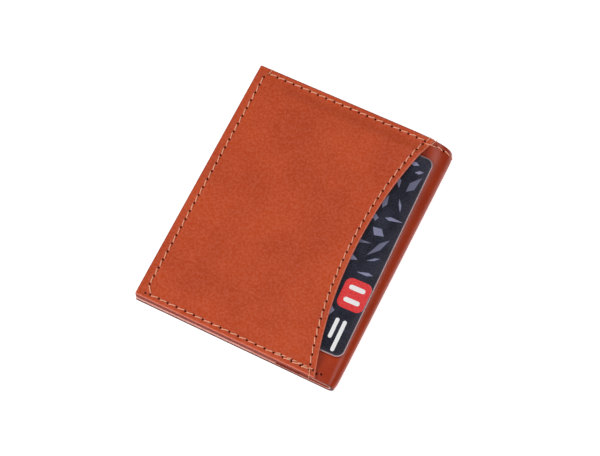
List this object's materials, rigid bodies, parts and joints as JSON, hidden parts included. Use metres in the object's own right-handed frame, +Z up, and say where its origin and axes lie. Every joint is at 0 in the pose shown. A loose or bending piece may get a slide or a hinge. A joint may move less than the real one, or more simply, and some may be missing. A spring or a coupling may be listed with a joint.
{
  "type": "bifold leather wallet",
  "caption": "Slim vertical bifold leather wallet with sewn edges, an outer pocket with a curved mouth holding a card, inner card slots and a bill compartment.",
  "frame": {"origin": "middle of the face that the closed wallet rests on, at the height of the table", "axes": "+Z up out of the outer pocket's side, +X towards the fold, +Y towards the sewn far end, with the open end of the bill compartment at -Y"},
  "size_m": [0.083, 0.1044, 0.0082],
  "materials": {
    "shell_leather": "smooth glossy vegetable-tanned leather, reddish tan, worn lighter along the edges",
    "pocket_leather": "smooth glossy vegetable-tanned leather, reddish tan, creased by the card under it",
    "slot_leather": "thin smooth tan leather, semi-matt",
    "divider_leather": "thin split leather, matt nap",
    "thread": "waxed polyester thread, pale peach",
    "card_plastic": "laminated plastic, dark with grey facets",
    "card_chip": "gold-plated contact plate, satin"
  },
  "bodies": {
    "front_half": {"front_cover": "shell_leather", "front_divider": "divider_leather", "front_slot_pocket_1": "slot_leather", "front_slot_pocket_2": "slot_leather", "front_slot_pocket_3": "slot_leather", "front_free_edge_seam": "thread", "front_far_end_seam": "thread", "front_slot_near_seam": "thread"},
    "spine_1": {"spine_shell_1": "shell_leather", "spine_divider_1": "divider_leather", "spine_seam_1": "thread"},
    "spine_2": {"spine_shell_2": "shell_leather", "spine_divider_2": "divider_leather", "spine_seam_2": "thread"},
    "back_half": {"back_cover": "shell_leather", "back_divider": "divider_leather", "back_slot_pocket_1": "slot_leather", "back_slot_pocket_2": "slot_leather", "back_slot_pocket_3": "slot_leather", "pocket_panel": "pocket_leather", "back_free_edge_seam": "thread", "back_far_end_seam": "thread", "back_slot_near_seam": "thread", "pocket_near_seam": "thread", "pocket_mouth_seam": "thread"},
    "card": {"card": "card_plastic", "card_chip": "card_chip"}
  },
  "joints": [
    {"name": "fold_1", "type": "hinge", "parent": "front_half", "child": "spine_1", "pos_m": [0.03998, 0, 0.0003], "axis": [0, 1, 0], "range_deg": [0, 60]},
    {"name": "fold_2", "type": "hinge", "parent": "spine_1", "child": "spine_2", "pos_m": [0.04165, 0, 0.0032], "axis": [0, 1, 0], "range_deg": [0, 60]},
    {"name": "fold_3", "type": "hinge", "parent": "spine_2", "child": "back_half", "pos_m": [0.03998, 0, 0.0061], "axis": [0, 1, 0], "range_deg": [0, 60]},
    {"name": "card_slide", "type": "slide", "parent": "back_half", "child": "card", "axis": [1, 0, 0], "range_m": [-0.008, 0.06]}
  ],
  "couplings": [
    {"joint": "fold_2", "follows": "fold_1", "ratio": 1},
    {"joint": "fold_3", "follows": "fold_1", "ratio": 1}
  ]
}
